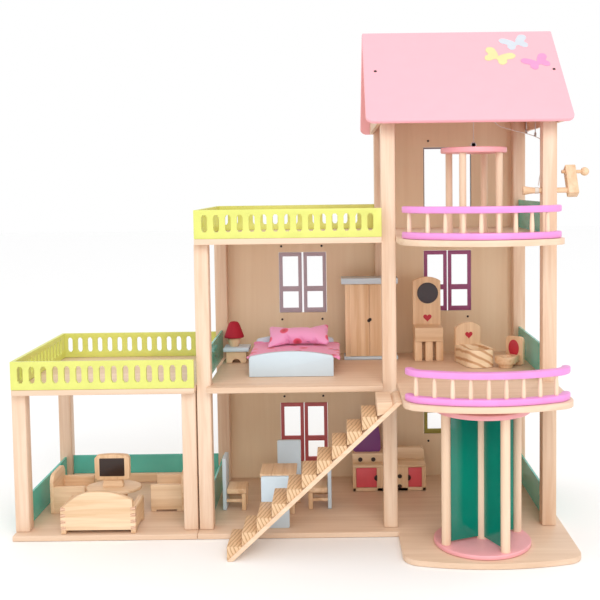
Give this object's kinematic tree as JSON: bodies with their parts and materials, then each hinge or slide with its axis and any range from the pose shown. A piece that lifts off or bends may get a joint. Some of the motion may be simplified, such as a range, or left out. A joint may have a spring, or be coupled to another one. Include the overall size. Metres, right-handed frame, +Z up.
{
  "type": "wooden dollhouse",
  "caption": "Open-fronted wooden dollhouse: covered terrace, two-storey house, tower with revolving door, cranked lift, pink roof, balconies, stair and furniture.",
  "frame": {"origin": "underside of the main base, midway between the outer faces of the front and back posts", "axes": "+X to the right as seen from the open front, +Y to the back wall, +Z up"},
  "size_m": [0.8252, 0.421, 0.7269],
  "materials": {
    "pine": "clear lacquer over light pine",
    "beech": "clear lacquer over darker wood",
    "lime_paint": "satin lime-yellow paint",
    "pink_paint": "satin pink paint",
    "lilac_paint": "satin lilac paint",
    "teal_acrylic": "clear tinted acrylic",
    "mauve_paint": "satin grey-lavender paint",
    "rose_paint": "satin rose-red paint",
    "plum_paint": "satin plum paint",
    "olive_paint": "satin olive paint",
    "ice_paint": "satin ice-blue paint",
    "pink_fabric": "printed cotton",
    "cord": "twisted thin cord"
  },
  "bodies": {
    "house": {"armchair_left": "pine", "armchair_right": "pine", "back_wall": "pine", "base_left": "pine", "base_main": "pine", "bathtub": "pine", "bed": "ice_paint", "bedding": "pink_fabric", "bedside_table": "ice_paint", "chair_left": "ice_paint", "chair_right": "ice_paint", "coffee_table_with_tv": "pine", "cord_drop": "cord", "cord_run": "cord", "deck_left": "pine", "dining_table": "beech", "fence_house": "lime_paint", "fence_terrace": "lime_paint", "floor_first": "pine", "floor_second": "pine", "gable_left": "pine", "gable_right": "pine", "guard_bathroom_side": "teal_acrylic", "guard_bedroom_side": "teal_acrylic", "guard_dining_side": "teal_acrylic", "guard_kitchen_side": "teal_acrylic", "guard_lift_side": "teal_acrylic", "guard_terrace_back": "teal_acrylic", "guard_terrace_side": "teal_acrylic", "kitchen_counter": "pine", "pillow": "pink_fabric", "post_house_back": "pine", "post_house_front": "pine", "post_terrace_back": "pine", "post_terrace_front": "pine", "post_terrace_inner": "pine", "post_tower_back_left": "pine", "post_tower_back_right": "pine", "post_tower_front_left": "pine", "post_tower_front_right": "pine", "railing_first": "lilac_paint", "railing_second": "lilac_paint", "roof_back": "pink_paint", "roof_front": "pink_paint", "settee": "pine", "stair": "pine", "toilet": "beech", "wardrobe": "pine", "washstand": "beech", "window_kitchen": "olive_paint"},
    "revolving_door": {"door_turntable": "pink_paint", "door_panels": "teal_acrylic"},
    "lift": {"lift_cage": "pink_paint"},
    "crank_handle": {"crank": "pine"},
    "leaf_bedroom_left": {"shutter_bedroom_left": "mauve_paint"},
    "leaf_bedroom_right": {"shutter_bedroom_right": "mauve_paint"},
    "leaf_dining_left": {"shutter_dining_left": "rose_paint"},
    "leaf_dining_right": {"shutter_dining_right": "rose_paint"},
    "leaf_bathroom_left": {"shutter_bathroom_left": "plum_paint"},
    "leaf_bathroom_right": {"shutter_bathroom_right": "plum_paint"}
  },
  "joints": [
    {"name": "door_turn", "type": "hinge", "parent": "house", "child": "revolving_door", "pos_m": [0.139, -0.177, 0.0085], "axis": [0, 0, 1], "continuous": true},
    {"name": "lift_slide", "type": "slide", "parent": "house", "child": "lift", "axis": [0, 0, 1], "range_m": [-0.2, 0], "deforming": ["cord_drop"]},
    {"name": "crank_turn", "type": "hinge", "parent": "house", "child": "crank_handle", "pos_m": [0.244, -0.11, 0.4875], "axis": [1, 0, 0], "range_deg": [-5, 2095]},
    {"name": "leaf_bedroom_left_swing", "type": "hinge", "parent": "house", "child": "leaf_bedroom_left", "pos_m": [-0.1515, 0.1247, 0.3375], "axis": [0, 0, 1], "range_deg": [0, 110]},
    {"name": "leaf_bedroom_right_swing", "type": "hinge", "parent": "house", "child": "leaf_bedroom_right", "pos_m": [-0.0735, 0.1247, 0.3375], "axis": [0, 0, -1], "range_deg": [0, 110]},
    {"name": "leaf_dining_left_swing", "type": "hinge", "parent": "house", "child": "leaf_dining_left", "pos_m": [-0.1525, 0.1247, 0.0845], "axis": [0, 0, 1], "range_deg": [0, 110]},
    {"name": "leaf_dining_right_swing", "type": "hinge", "parent": "house", "child": "leaf_dining_right", "pos_m": [-0.0745, 0.1247, 0.0845], "axis": [0, 0, -1], "range_deg": [0, 110]},
    {"name": "leaf_bathroom_left_swing", "type": "hinge", "parent": "house", "child": "leaf_bathroom_left", "pos_m": [0.0895, 0.1247, 0.3375], "axis": [0, 0, 1], "range_deg": [0, 110]},
    {"name": "leaf_bathroom_right_swing", "type": "hinge", "parent": "house", "child": "leaf_bathroom_right", "pos_m": [0.1675, 0.1247, 0.3375], "axis": [0, 0, -1], "range_deg": [0, 110]}
  ],
  "couplings": [
    {"joint": "crank_turn", "follows": "lift_slide", "rad_per_m": -182}
  ]
}
